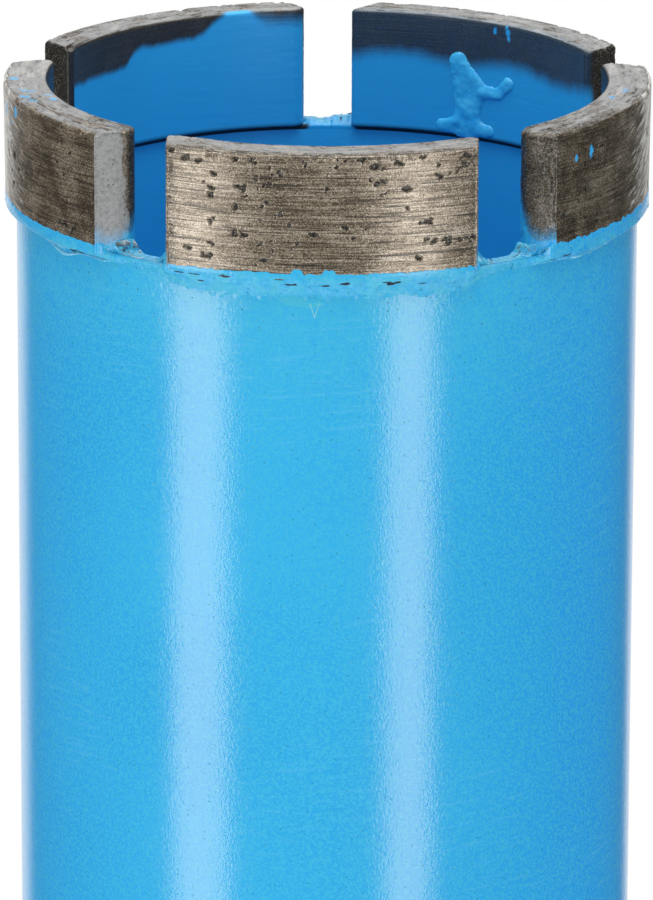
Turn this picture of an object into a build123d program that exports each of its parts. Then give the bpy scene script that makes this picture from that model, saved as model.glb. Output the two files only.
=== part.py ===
"""Wet diamond core bit, 52 mm over the segments.

A drawn steel barrel carries five sintered diamond segments brazed to its open rim, and a
threaded steel hub welded into its other end. The bit stands on the hub's seating face with the
crown up.

Frame: millimetres, +Z along the bore from the hub towards the crown, origin at the centre of the
hub's seating face. The first segment is centred close to -Y.
"""

from build123d import *
import math
import os

# ---- Driving dimensions, millimetres and degrees --------------------------------------------

# Barrel
BARREL_DIAMETER = 50.0  # outside
BARREL_WALL = 2.0
BARREL_LENGTH = 290.0  # open rim to the welded end
BARREL_WELD_BEVEL = 1.2  # 45 degree bevel at the welded end

# Diamond segments
SEGMENT_COUNT = 5
SEGMENT_HEIGHT = 10.0
SEGMENT_OUTER_STEP = 1.0  # how far a segment stands out past the barrel's outside
SEGMENT_INNER_STEP = 0.5  # how far it stands in past the barrel's bore
SLOT_NECK = 2.6  # water slot between neighbours, at its narrow inner end
SEGMENT_INNER_CORNER = 0.5  # radius of the upright inner corners
SEGMENT_OUTER_CORNER = 0.25  # radius of the upright outer corners
SEGMENT_TOP_EDGE = 0.35  # radius of the dressed top edges
SEAT_ERRORS = (-1.0, -0.5, -1.1, -0.7, -0.1)  # degrees each hand-set segment sits off its pitch

# Braze that holds a segment to the rim
BRAZE_FILM = 0.15  # thickness between rim and segment
BRAZE_OUTER_DROP = 1.0  # how far the outer fillet runs down the barrel
BRAZE_INNER_DROP = 0.25  # how far the inner fillet runs down the bore
BRAZE_BULGE = 0.2  # how far the outer fillet swells past a straight slope
BRAZE_END_RISE = 1.1  # how far the end fillet climbs the segment
BRAZE_END_RUN = 1.1  # how far the end fillet runs along the rim
BRAZE_END_HOLLOW = 0.38  # share of its run and its rise at which the end fillet is hollowed

# Threaded hub, 1 1/4 inch - 7 UNC, bored plain at the thread's major diameter
THREAD_DIAMETER = 31.75
THREAD_MOUTH_BEVEL = 1.5
HEX_WALL = 4.625  # between the thread and a wrench flat
HEX_LENGTH = 22.0
HEX_CORNER_ANGLE = 30.0  # slope of the turned bevel on the hexagon's corners
COLLAR_LENGTH = 6.0  # round collar between hexagon and barrel
COLLAR_EDGE = 1.0  # bevel on the collar's lower edge
SPIGOT_LENGTH = 9.0  # reach inside the barrel
SPIGOT_CLEARANCE = 0.05  # radial, between spigot and bore
SPIGOT_LEAD = 1.0  # bevel at the spigot's end
SPIGOT_WATERWAY_BEVEL = 2.0  # bevel where the bore opens into the barrel

# Weld between collar and barrel
WELD_CROWN = 0.6  # how far the bead stands proud of the barrel

# ---- Sizes that follow -----------------------------------------------------------------------

barrel_radius = BARREL_DIAMETER / 2
bore_radius = barrel_radius - BARREL_WALL
barrel_foot = HEX_LENGTH + COLLAR_LENGTH
rim = barrel_foot + BARREL_LENGTH

segment_outer_radius = barrel_radius + SEGMENT_OUTER_STEP
segment_inner_radius = bore_radius - SEGMENT_INNER_STEP
segment_foot = rim + BRAZE_FILM
half_pitch = 180.0 / SEGMENT_COUNT
half_neck_angle = math.degrees(math.asin(SLOT_NECK / 2 / segment_inner_radius))
segment_half_length = segment_inner_radius * math.sin(math.radians(half_pitch - half_neck_angle))

hex_across_flats = THREAD_DIAMETER + 2 * HEX_WALL
hex_corner_radius = hex_across_flats / math.sqrt(3)
thread_radius = THREAD_DIAMETER / 2
spigot_radius = bore_radius - SPIGOT_CLEARANCE


def ring(outer, inner, height, foot):
    """A plain ring on the bit's axis."""
    wall = Cylinder(outer, height, align=(Align.CENTER, Align.CENTER, Align.MIN))
    hole = Cylinder(inner, height, align=(Align.CENTER, Align.CENTER, Align.MIN))
    return Pos(0, 0, foot) * (wall - hole)


def turned(*edges):
    """The solid that a closed half section, drawn in the XZ plane, sweeps round the axis."""
    return revolve(make_face(Curve() + list(edges)), Axis.Z)


def outline(points):
    """Straight edges through the points and back to the first."""
    return Polyline(*points, close=True)


def in_seat(shape, number):
    """Turns a piece drawn about +X to its seat on the rim, counted anticlockwise from -Y."""
    error = SEAT_ERRORS[number % len(SEAT_ERRORS)]
    return Rot(0, 0, -90 + error + number * 360 / SEGMENT_COUNT) * shape


# ---- Barrel ----------------------------------------------------------------------------------


def barrel():
    """Seamless tube, square at the rim and bevelled outside for the weld."""
    section = outline(
        [
            (bore_radius, 0, barrel_foot),
            (barrel_radius - BARREL_WELD_BEVEL, 0, barrel_foot),
            (barrel_radius, 0, barrel_foot + BARREL_WELD_BEVEL),
            (barrel_radius, 0, rim),
            (bore_radius, 0, rim),
        ]
    )
    return turned(section)


# ---- Hub -------------------------------------------------------------------------------------


def hexagon():
    """Wrench hexagon with its corners turned off at the seating face."""
    flat_radius = hex_across_flats / 2
    corner_rise = (hex_corner_radius - flat_radius) * math.tan(math.radians(HEX_CORNER_ANGLE))
    prism = extrude(RegularPolygon(hex_corner_radius, 6), HEX_LENGTH)
    turning = outline(
        [
            (0, 0, 0),
            (flat_radius, 0, 0),
            (hex_corner_radius, 0, corner_rise),
            (hex_corner_radius, 0, HEX_LENGTH),
            (0, 0, HEX_LENGTH),
        ]
    )
    return prism & turned(turning)


def hub():
    """Hexagon, collar and spigot in one turned piece, bored right through for water."""
    collar_top = barrel_foot
    spigot_top = barrel_foot + SPIGOT_LENGTH
    body = outline(
        [
            (0, 0, HEX_LENGTH),
            (barrel_radius - COLLAR_EDGE, 0, HEX_LENGTH),
            (barrel_radius, 0, HEX_LENGTH + COLLAR_EDGE),
            (barrel_radius, 0, collar_top - BARREL_WELD_BEVEL),
            (barrel_radius - BARREL_WELD_BEVEL, 0, collar_top),
            (spigot_radius, 0, collar_top),
            (spigot_radius, 0, spigot_top - SPIGOT_LEAD),
            (spigot_radius - SPIGOT_LEAD, 0, spigot_top),
            (0, 0, spigot_top),
        ]
    )
    bore = outline(
        [
            (0, 0, 0),
            (thread_radius + THREAD_MOUTH_BEVEL, 0, 0),
            (thread_radius, 0, THREAD_MOUTH_BEVEL),
            (thread_radius, 0, spigot_top - SPIGOT_WATERWAY_BEVEL),
            (thread_radius + SPIGOT_WATERWAY_BEVEL, 0, spigot_top),
            (0, 0, spigot_top),
        ]
    )
    return hexagon() + turned(body) - turned(bore)


def hub_weld():
    """Bead that fills the groove between collar and barrel and stands a little proud."""
    low = barrel_foot - BARREL_WELD_BEVEL
    high = barrel_foot + BARREL_WELD_BEVEL
    root = Polyline(
        (barrel_radius, 0, high),
        (barrel_radius - BARREL_WELD_BEVEL, 0, barrel_foot),
        (barrel_radius, 0, low),
    )
    crown = ThreePointArc(
        (barrel_radius, 0, low),
        (barrel_radius + WELD_CROWN, 0, barrel_foot),
        (barrel_radius, 0, high),
    )
    return turned(root, crown)


# ---- Crown -----------------------------------------------------------------------------------


def segment_footprint():
    """Plan of a segment about +X: two concentric arcs and two parallel ends."""
    ring_plan = Circle(segment_outer_radius) - Circle(segment_inner_radius)
    window = Pos(segment_outer_radius / 2, 0) * Rectangle(
        segment_outer_radius, 2 * segment_half_length
    )
    plan = (ring_plan & window).faces().sort_by(Axis.X)[-1]
    corners = plan.vertices().sort_by_distance((0, 0, 0))
    plan = fillet(corners[:2], SEGMENT_INNER_CORNER)
    outer_corners = Sketch(plan).vertices().sort_by_distance((0, 0, 0))[-2:]
    return fillet(outer_corners, SEGMENT_OUTER_CORNER)


def segment():
    """Sintered segment with its top edges dressed round."""
    block = Pos(0, 0, segment_foot) * extrude(segment_footprint(), SEGMENT_HEIGHT)
    top_edges = block.faces().sort_by(Axis.Z)[-1].edges()
    return fillet(top_edges, SEGMENT_TOP_EDGE)


def braze():
    """Film under a segment, fillets along its inner and outer steps and one at each end."""
    swell = BRAZE_BULGE / math.sqrt(2)
    outer_middle = (
        (segment_outer_radius + barrel_radius) / 2 + swell,
        0,
        (segment_foot + rim - BRAZE_OUTER_DROP) / 2 - swell,
    )
    seat = Polyline(
        (barrel_radius, 0, rim - BRAZE_OUTER_DROP),
        (barrel_radius, 0, rim),
        (bore_radius, 0, rim),
        (bore_radius, 0, rim - BRAZE_INNER_DROP),
        (segment_inner_radius, 0, segment_foot),
        (segment_outer_radius, 0, segment_foot),
    )
    outer_face = ThreePointArc(
        (segment_outer_radius, 0, segment_foot),
        outer_middle,
        (barrel_radius, 0, rim - BRAZE_OUTER_DROP),
    )
    depth = BRAZE_OUTER_DROP + BRAZE_FILM
    window = Pos(0, 0, rim - BRAZE_OUTER_DROP) * Box(
        segment_outer_radius,
        2 * segment_half_length,
        depth,
        align=(Align.MIN, Align.CENTER, Align.MIN),
    )
    bead = turned(seat, outer_face) & window
    return bead + [end_fillet(side) for side in (-1, 1)]


def end_fillet(side):
    """Hollow fillet from the rim up the end of a segment, as wide as the barrel's wall."""
    inner = (side * segment_half_length, rim)
    toe = (side * (segment_half_length + BRAZE_END_RUN), rim)
    top = (side * segment_half_length, segment_foot + BRAZE_END_RISE)
    hollow = (
        side * (segment_half_length + BRAZE_END_RUN * BRAZE_END_HOLLOW),
        rim + (BRAZE_FILM + BRAZE_END_RISE) * BRAZE_END_HOLLOW,
    )
    face = make_face(Curve() + [Line(top, inner), Line(inner, toe), ThreePointArc(toe, hollow, top)])
    web = extrude(Plane.YZ * face, segment_outer_radius, dir=(1, 0, 0))
    wall = ring(barrel_radius, bore_radius, BRAZE_END_RISE + 2 * BRAZE_FILM, rim)
    return web & wall


def main():
    os.makedirs("parts", exist_ok=True)
    pieces = {"barrel": barrel(), "hub": hub(), "hub_weld": hub_weld()}
    for number in range(SEGMENT_COUNT):
        pieces[f"segment_{number + 1}"] = in_seat(segment(), number)
        pieces[f"braze_{number + 1}"] = in_seat(braze(), number)
    for name, piece in pieces.items():
        export_step(piece, f"parts/{name}.step")


main()
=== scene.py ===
"""Looks of a wet diamond core bit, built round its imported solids.

The row's frame: +Z along the bore from the hub up to the crown, the first segment close to -Y.
Mesh functions work in millimetres, and add_mesh() turns them into metres. An angle about the axis
is 0 at -Y and grows anticlockwise seen from above. On a segment, "arc" is the distance along it
from its middle, growing the same way, and "height" is the distance above its foot.
"""

import itertools
import math

import bmesh
import bpy
import numpy as np
from mathutils import Matrix, Vector


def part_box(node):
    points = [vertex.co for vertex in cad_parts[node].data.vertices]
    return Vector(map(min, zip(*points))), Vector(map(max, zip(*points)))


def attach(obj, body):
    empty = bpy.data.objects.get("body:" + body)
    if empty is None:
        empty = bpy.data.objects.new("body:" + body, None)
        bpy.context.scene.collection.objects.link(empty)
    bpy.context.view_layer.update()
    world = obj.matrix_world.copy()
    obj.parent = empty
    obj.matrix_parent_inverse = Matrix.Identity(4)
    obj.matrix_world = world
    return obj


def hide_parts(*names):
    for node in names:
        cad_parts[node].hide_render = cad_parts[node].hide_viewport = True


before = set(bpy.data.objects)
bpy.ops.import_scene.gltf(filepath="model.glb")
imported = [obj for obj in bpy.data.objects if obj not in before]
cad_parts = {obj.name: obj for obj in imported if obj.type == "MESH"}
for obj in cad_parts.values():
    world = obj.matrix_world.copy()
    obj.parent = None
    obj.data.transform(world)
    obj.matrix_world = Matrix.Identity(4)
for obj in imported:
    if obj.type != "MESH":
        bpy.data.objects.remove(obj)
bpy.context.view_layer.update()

MM = 0.001
SEGMENTS = 5
FRONT, RIGHT, BACK_RIGHT, BACK_LEFT, LEFT = range(1, SEGMENTS + 1)

# ---- Sizes read from the frame, in millimetres -------------------------------------------------


def corners(node):
    """Vertices of a CAD node, in millimetres."""
    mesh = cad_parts[node].data
    points = np.empty(len(mesh.vertices) * 3)
    mesh.vertices.foreach_get("co", points)
    return points.reshape(-1, 3) / MM


class Seat:
    """Where a segment sits, from its CAD solid."""

    def __init__(self, number):
        self.number = number
        points = corners(f"segment_{number}")
        middle = points.mean(0)
        towards = np.degrees(np.arctan2(middle[0], -middle[1]))
        turned = (np.degrees(np.arctan2(points[:, 0], -points[:, 1])) - towards + 180) % 360 - 180
        self.angle = towards + (turned.min() + turned.max()) / 2
        radii = np.hypot(points[:, 0], points[:, 1])
        self.inner = radii.min()
        self.outer = radii.max()
        self.half_length = abs(self.inner_side(points)).max()
        self.foot = points[:, 2].min()
        self.top = points[:, 2].max()

    def inner_side(self, points):
        """Distance of points along the segment's chord from its middle."""
        turn = math.radians(self.angle)
        return points[:, 0] * math.cos(turn) + points[:, 1] * math.sin(turn)


seats = {number: Seat(number) for number in range(1, SEGMENTS + 1)}
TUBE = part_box("barrel")[1].x / MM
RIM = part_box("barrel")[1].z / MM
BARREL_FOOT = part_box("barrel")[0].z / MM
BORE = np.hypot(*corners("barrel")[:, :2].T).min()
FOOT = seats[FRONT].foot
CROWN_TOP = seats[FRONT].top

# ---- Noise and shaping -------------------------------------------------------------------------

LATTICE_SIZE = 64
LATTICE = np.random.default_rng(5).random((LATTICE_SIZE,) * 3)


def value_noise(x, y, z):
    """Smooth noise from -1 to 1 that changes over one unit."""
    axes = np.broadcast_arrays(x, y, z)
    cells = [np.floor(axis).astype(int) for axis in axes]
    parts = [axis - cell for axis, cell in zip(axes, cells)]
    parts = [part * part * (3 - 2 * part) for part in parts]
    value = 0.0
    for corner in itertools.product((0, 1), repeat=3):
        weight = 1.0
        for part, side in zip(parts, corner):
            weight = weight * (part if side else 1 - part)
        value = value + weight * LATTICE[tuple((c + s) % LATTICE_SIZE for c, s in zip(cells, corner))]
    return 2 * value - 1


def noise(x, y, z=0.0, octaves=3):
    """Noise with finer layers, each half the size and half the strength."""
    total = 0.0
    for layer in range(octaves):
        scale = 2**layer
        shift = 7.3 * layer
        total = total + value_noise(x * scale + shift, y * scale + shift, z * scale + shift) / scale
    return total / 1.5


def smooth(start, end, value):
    """0 before start, 1 after end and a soft step between."""
    share = np.clip((value - start) / (end - start), 0, 1)
    return share * share * (3 - 2 * share)


def blend(a, b, share):
    """a where share is 0 and b where it is 1."""
    return a + (b - a) * share


def drawn(seed, count, *limits):
    """Seeded rows of numbers, with one from between each pair of limits."""
    chance = np.random.default_rng(seed)
    return [[chance.uniform(*pair) for pair in limits] for _ in range(count)]


# ---- Mesh helpers ------------------------------------------------------------------------------


def on_axis(angle, radius, height):
    """Points from angles in degrees, radii and heights."""
    turn = np.radians(angle)
    angle, radius, height = np.broadcast_arrays(turn, radius, height)
    return np.stack([radius * np.sin(angle), -radius * np.cos(angle), height], -1)


def wrapped_faces(rows, count):
    """Quads between closed rows of count points each."""
    row = np.arange(rows - 1)[:, None] * count
    here = np.arange(count)
    there = (here + 1) % count
    return np.stack([row + here, row + there, row + count + there, row + count + here], -1).reshape(-1, 4)


def capped(faces, rows, count):
    """The quads of an open bar of rows, and then its two ends."""
    return [*faces.tolist(), list(range(count)), list(range(rows * count - 1, (rows - 1) * count - 1, -1))]


def add_mesh(name, points, faces, material, nodes=(), finish=None, merge=0.0):
    """Makes a smooth closed piece from millimetre points, which rides on the row's one body."""
    mesh = bpy.data.meshes.new(name)
    mesh.from_pydata((np.asarray(points) * MM).tolist(), [], [list(map(int, f)) for f in faces])
    if finish is not None:
        layer = mesh.attributes.new("finish", "FLOAT_VECTOR", "POINT")
        layer.data.foreach_set("vector", np.asarray(finish, np.float32).ravel())
    if merge:
        grown = bmesh.new()
        grown.from_mesh(mesh)
        bmesh.ops.remove_doubles(grown, verts=grown.verts, dist=merge * MM)
        grown.to_mesh(mesh)
        grown.free()
    mesh.validate()
    mesh.shade_smooth()
    mesh.materials.append(material)
    piece = bpy.data.objects.new(name, mesh)
    bpy.context.scene.collection.objects.link(piece)
    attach(piece, "root")
    if nodes:
        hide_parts(*nodes)
    return piece


# ---- Materials ---------------------------------------------------------------------------------


class Signal:
    """A value passed between nodes. Plain arithmetic on it adds the maths nodes."""

    def __init__(self, graph, socket):
        self.graph = graph
        self.socket = socket

    def __add__(self, other):
        return self.graph.math("ADD", self, other)

    def __sub__(self, other):
        return self.graph.math("SUBTRACT", self, other)

    def __rsub__(self, other):
        return self.graph.math("SUBTRACT", other, self)

    def __mul__(self, other):
        return self.graph.math("MULTIPLY", self, other)

    def __truediv__(self, other):
        return self.graph.math("DIVIDE", self, other)

    def __abs__(self):
        return self.graph.math("ABSOLUTE", self)

    def step(self, start, end):
        """0 before start, 1 after end and a soft step between."""
        node = self.graph.add("ShaderNodeMapRange", interpolation_type="SMOOTHSTEP")
        for name, value in (("Value", self), ("From Min", start), ("From Max", end)):
            self.graph.feed(node.inputs[name], value)
        return Signal(self.graph, node.outputs[0])

    __radd__ = __add__
    __rmul__ = __mul__


class Graph:
    """The node tree of a material or a world, with short calls for the nodes used here."""

    def __init__(self, owner):
        owner.use_nodes = True
        self.owner = owner
        self.tree = owner.node_tree
        self.shader = self.tree.nodes.get("Principled BSDF")

    def add(self, kind, **settings):
        node = self.tree.nodes.new(kind)
        for key, value in settings.items():
            setattr(node, key, value)
        return node

    def feed(self, socket, value):
        if isinstance(value, Signal):
            value = value.socket
        if isinstance(value, bpy.types.NodeSocket):
            self.tree.links.new(value, socket)
        elif isinstance(value, (tuple, list)) and len(value) == 3 and len(socket.default_value) == 4:
            socket.default_value = (*value, 1.0)
        else:
            socket.default_value = value

    def math(self, operation, *values, clamp=False):
        node = self.add("ShaderNodeMath", operation=operation, use_clamp=clamp)
        for socket, value in zip(node.inputs, values):
            self.feed(socket, value)
        return Signal(self, node.outputs[0])

    def length(self, x, y):
        return self.math("SQRT", x * x + y * y)

    def greater(self, a, b):
        return self.math("MAXIMUM", a, b)

    def scaled(self, vector, scale):
        node = self.add("ShaderNodeVectorMath", operation="MULTIPLY")
        self.feed(node.inputs[0], vector)
        node.inputs[1].default_value = scale
        return Signal(self, node.outputs[0])

    def noise(self, vector, scale, detail, roughness):
        node = self.add("ShaderNodeTexNoise")
        self.feed(node.inputs["Vector"], vector)
        for name, value in (("Scale", scale), ("Detail", detail), ("Roughness", roughness)):
            node.inputs[name].default_value = value
        return Signal(self, node.outputs[0])

    def cells(self, vector, scale):
        """Distance to the nearest of scattered points, and a random number for that point."""
        node = self.add("ShaderNodeTexVoronoi")
        self.feed(node.inputs["Vector"], vector)
        node.inputs["Scale"].default_value = scale
        split = self.add("ShaderNodeSeparateColor")
        self.feed(split.inputs[0], node.outputs["Color"])
        return Signal(self, node.outputs["Distance"]), Signal(self, split.outputs[0])

    def mix(self, share, a, b):
        node = self.add("ShaderNodeMix", data_type="RGBA")
        self.feed(node.inputs["Factor"], share)
        self.feed(node.inputs[6], a)  # the two colours of a node that mixes other types too
        self.feed(node.inputs[7], b)
        return Signal(self, node.outputs[2])

    def ramp(self, value, *stops):
        node = self.add("ShaderNodeValToRGB")
        self.feed(node.inputs[0], value)
        elements = node.color_ramp.elements
        while len(elements) < len(stops):
            elements.new(0.5)
        for element, (place, colour) in zip(elements, stops):
            element.position = place
            element.color = (*colour, 1.0)
        return Signal(self, node.outputs[0])

    def bump(self, height, distance):
        node = self.add("ShaderNodeBump")
        for name, value in (("Height", height), ("Distance", distance), ("Strength", 1.0)):
            self.feed(node.inputs[name], value)
        return Signal(self, node.outputs[0])

    def split(self, vector):
        node = self.add("ShaderNodeSeparateXYZ")
        self.feed(node.inputs[0], vector)
        return [Signal(self, output) for output in node.outputs]

    def place(self):
        """Position in millimetres."""
        return self.scaled(self.add("ShaderNodeTexCoord").outputs["Object"], (1 / MM,) * 3)

    def round_axis(self):
        """Distance round the axis at the barrel's radius, height and radius, in millimetres."""
        x, y, z = self.split(self.place())
        return self.math("ARCTAN2", x, y * -1.0) * TUBE, z, self.length(x, y)

    def joined(self, *values):
        node = self.add("ShaderNodeCombineXYZ")
        for socket, value in zip(node.inputs, values):
            self.feed(socket, value)
        return Signal(self, node.outputs[0])

    def finish(self):
        """The three numbers that a piece's own mesh carries for its finish."""
        return self.split(self.add("ShaderNodeAttribute", attribute_name="finish").outputs["Vector"])

    def set(self, **values):
        for key, value in values.items():
            self.feed(self.shader.inputs[key.replace("_", " ")], value)
        return self.owner


BLUE = (0.029, 0.365, 0.660)
BLUE_SHADE = (0.023, 0.330, 0.625)
BLUE_SIDE_LIGHT = (0.012, 0.295, 0.715)
BLUE_GREEN = (0.045, 0.405, 0.612)
BLUE_PALE = (0.10, 0.50, 0.74)
CYAN = (0.075, 0.47, 0.57)
SPECK = (0.008, 0.10, 0.16)
WIPED = (0.20, 0.55, 0.78)
BORE_BLUE = (0.028, 0.42, 0.84)
BORE_SHADE = (0.022, 0.39, 0.81)
HIGHLIGHT = (1.0, 0.90, 0.74)
GLOSS_IOR = 1.5
PEEL = 0.0122  # depth of the orange peel, in millimetres


def new_graph(name):
    graph = Graph(bpy.data.materials.new(name))
    return graph, graph.place()


def dots(graph, place, scale, rarest, size):
    """Scattered round dots: one in each random cell that draws a number above rarest."""
    distance, chance = graph.cells(place, scale)
    radius = chance.step(rarest, 1.0) * (size * scale)
    return distance.step(radius, radius * 0.4)


def enamel(graph, place, pinholes=0.35):
    """Colour, roughness and relief in millimetres of the blue enamel."""
    cloud = graph.noise(place, 0.06, 1.0, 0.5)
    colour = graph.mix(cloud.step(0.25, 0.75), BLUE_SHADE, BLUE)
    arc, _, _ = graph.round_axis()
    # Painted light: bluer towards the barrel's right side and, less, its left, as a tint of the light
    # there
    colour = graph.mix(arc.step(4.0, 30.0) + arc.step(-8.0, -34.0) * 0.6, colour, BLUE_SIDE_LIGHT)
    mottle = graph.noise(place, 4.5, 2.0, 0.6)
    colour = graph.mix(mottle.step(0.42, 0.62) * 0.8, colour, BLUE_GREEN)
    speck = dots(graph, place, 2.3, 0.45, 0.12) * pinholes
    colour = graph.mix(speck, colour, SPECK)
    fleck = dots(graph, graph.scaled(place, (1.0, 1.0, 0.7)), 0.9, 0.7, 0.06)
    colour = graph.mix(fleck * 0.4, colour, BLUE_PALE)
    peel = graph.noise(graph.scaled(place, (1.0, 1.0, 0.45)), 6.5, 1.0, 0.5)
    swell = graph.noise(place, 0.5, 1.0, 0.5)
    relief = peel * PEEL + swell * 0.012 - speck * 0.015
    return colour, mottle * 0.06 + 0.13, relief


def surface(graph, colour, rough, relief, **others):
    """Sets the shader, with the relief in millimetres, and gives back the material."""
    normal = graph.bump(relief, MM)
    return graph.set(Base_Color=colour, Roughness=rough, IOR=GLOSS_IOR, Normal=normal, **others)


# Patch of greener enamel under the front segment: middle and half size, arc and depth under the rim
PATCH_MIDDLE = (-1.3, 1.45)
PATCH_HALF = (2.1, 0.75)
# Scratch under the patch, a narrow V: its foot, and how far its arms spread and rise from there
SCRATCH_FOOT = (-0.5, 3.1)
SCRATCH_SPREAD = 0.35
SCRATCH_RISE = 1.1
SCRATCH_HALF_WIDTH = 0.045
SCRATCH_GREEN = (0.30, 0.60, 0.52)


def near_line(graph, x, y, start, end, width):
    """1 within width of a straight stroke, and 0 clear of it."""
    run, rise = end[0] - start[0], end[1] - start[1]
    from_x, from_y = x - start[0], y - start[1]
    share = graph.math("DIVIDE", from_x * run + from_y * rise, run * run + rise * rise, clamp=True)
    return graph.length(from_x - share * run, from_y - share * rise).step(width * 1.5, width * 0.5)


def barrel_enamel():
    graph, place = new_graph("barrel_enamel")
    arc, height, radius = graph.round_axis()
    ragged = graph.noise(place, 0.9, 3.0, 0.6)
    outside = radius.step(BORE + 0.5, TUBE - 0.5)
    closest = height.step(RIM - 6.5, RIM - 1.5) * ragged.step(0.40, 0.60)
    colour, rough, relief = enamel(graph, place, closest * 0.65 + 0.35)
    colour = graph.mix(height.step(RIM - 14.0, RIM) * ragged.step(0.2, 0.7) * 0.28, colour, CYAN)
    below = RIM - height
    front_arc = arc - TUBE * math.radians(seats[FRONT].angle)
    aside = (front_arc - PATCH_MIDDLE[0]) / PATCH_HALF[0]
    deep = (below - PATCH_MIDDLE[1]) / PATCH_HALF[1]
    patch = (aside * aside + deep * deep + (ragged - 0.5) * 3.6).step(1.25, 0.85) * outside
    colour = graph.mix(patch * 0.5, colour, CYAN)
    grainy = graph.noise(place, 2.6, 3.0, 0.6) * height.step(RIM - 5.0, RIM - 1.0)
    relief = relief + patch * 0.02 + grainy * 0.03
    for side in (-1, 1):
        top = (SCRATCH_FOOT[0] + side * SCRATCH_SPREAD, SCRATCH_FOOT[1] - SCRATCH_RISE)
        line = near_line(graph, front_arc, below, top, SCRATCH_FOOT, SCRATCH_HALF_WIDTH)
        colour = graph.mix(line * outside * 0.45, colour, SCRATCH_GREEN)
    tilted = height + arc * -0.06
    wipe = graph.noise(graph.joined(arc * 0.2, tilted * 2.6, 0.0), 1.0, 4.0, 0.65)
    where = graph.noise(place, 0.07, 1.0, 0.5).step(0.50, 0.66)
    wiped = wipe.step(0.52, 0.68) * where * outside
    colour = graph.mix(wiped * 0.13, colour, WIPED)
    relief = relief - wiped * 0.003
    colour = graph.mix(outside, graph.mix(ragged, BORE_BLUE, BORE_SHADE), colour)
    return surface(graph, colour, rough + (1.0 - outside) * 0.2, relief, Specular_Tint=HIGHLIGHT)


# Near-black of breaks in the enamel, and of the painted shade under the segments' overhang in the bore
CRACK_AND_SHADE = (0.007, 0.020, 0.040)
# Pale blue of the painted highlight on the roll's crest and on the rim in the slots
CREST_HIGHLIGHT = (0.32, 0.66, 0.84)
SOLDER_DARK = (0.028, 0.042, 0.052)
SOLDER = (0.115, 0.165, 0.200)
SOLDER_PALE = (0.36, 0.47, 0.54)


def braze_enamel():
    """Enamel over the braze: finish carries a tint, 2 where it is palest and above 1 a painted highlight,
    dark cracks with painted shade under the segments' overhang in the bore, and bare solder.
    """
    graph, place = new_graph("braze_enamel")
    _, _, radius = graph.round_axis()
    tint, crack_and_shade, bare = graph.finish()
    colour, rough, relief = enamel(graph, place, tint * 0.5 + 0.15)
    colour = graph.mix(radius.step(BORE + 0.4, BORE + 0.1), colour, BORE_BLUE)
    broken = graph.noise(place, 1.5, 4.0, 0.65)
    fine = graph.noise(place, 4.5, 3.0, 0.7)
    jitter = (fine - 0.5) * 1.6
    tint_to_one = graph.math("MINIMUM", tint, 1.0)
    colour = graph.mix(tint_to_one * broken.step(0.42, 0.66) * 0.45, colour, BLUE_PALE)
    cyan = tint * graph.noise(place, 0.8, 2.0, 0.5).step(0.42, 0.6)
    colour = graph.mix(cyan * 0.40, colour, CYAN)
    # A tint above 1 is painted highlight: the roll's crest and the palest spots on the rim in the slots
    colour = graph.mix((tint + jitter * 0.6).step(1.1, 1.7) * 0.8, colour, CREST_HIGHLIGHT)
    worn = (bare + jitter).step(0.42, 0.70)
    strands = graph.noise(graph.scaled(place, (0.8, 0.8, 2.6)), 0.9, 2.0, 0.5) * 0.6 + bare * 0.22
    solder = graph.ramp(strands, (0.34, SOLDER_DARK), (0.46, SOLDER), (0.56, SOLDER_PALE))
    colour = graph.mix(worn, colour, solder)
    cracked_and_shaded = (crack_and_shade + jitter * (tint * 0.8)).step(0.15, 0.80)
    colour = graph.mix(cracked_and_shaded * crack_and_shade.step(0.02, 0.12), colour, CRACK_AND_SHADE)
    relief = relief + (broken * 0.10 + fine * 0.035) * tint_to_one
    rough = graph.math("ADD", rough + worn * 0.15, crack_and_shade * 0.6, clamp=True)
    return surface(graph, colour, rough, relief, Specular_Tint=HIGHLIGHT)


SPLASH_BLUE = (0.036, 0.48, 0.92)
SPLASH_PALE = (0.07, 0.57, 0.95)


def splash_enamel():
    graph, place = new_graph("splash_enamel")
    cloud = graph.noise(place, 0.7, 3.0, 0.6)
    colour = graph.mix(cloud.step(0.35, 0.7), SPLASH_BLUE, SPLASH_PALE)
    return graph.set(Base_Color=colour, Roughness=0.26, IOR=GLOSS_IOR, Normal=graph.bump(cloud, 0.06 * MM))


# Near-black of dark specks and scratches, and the painted shade in the pits' hollows
SPECK_AND_PIT_SHADE = (0.014, 0.012, 0.010)
GRIT = (0.17, 0.165, 0.145)
COAT_DARK = (0.145, 0.145, 0.142)
COAT_PALE = (0.26, 0.255, 0.245)
COAT_BRIGHT = (0.37, 0.35, 0.325)
# Pale grey of the painted sheen on the side segments' far ends
GRAZING_SHEEN = (0.68, 0.65, 0.60)
COAT_SPECK = (0.045, 0.038, 0.032)
METALLIC = 0.3
# Smooth dark of the faces towards the bore: soot, and painted shade inside the crown
SOOT_AND_SHADE = (0.050, 0.047, 0.042)


def grinding_marks(graph, arc, height, radius):
    """Streaks, scratches and hairs along a segment, from coarse to fine."""
    marks = []
    coarse_to_fine = ((0.12, 2.8, 3.0, 0.6), (0.16, 6.5, 1.0, 0.5), (0.35, 10.0, 1.0, 0.5))
    for along, across, detail, roughness in coarse_to_fine:
        vector = graph.joined(arc * along, height * across, radius * across)
        marks.append(graph.noise(vector, 1.0, detail, roughness))
    return marks


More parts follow.
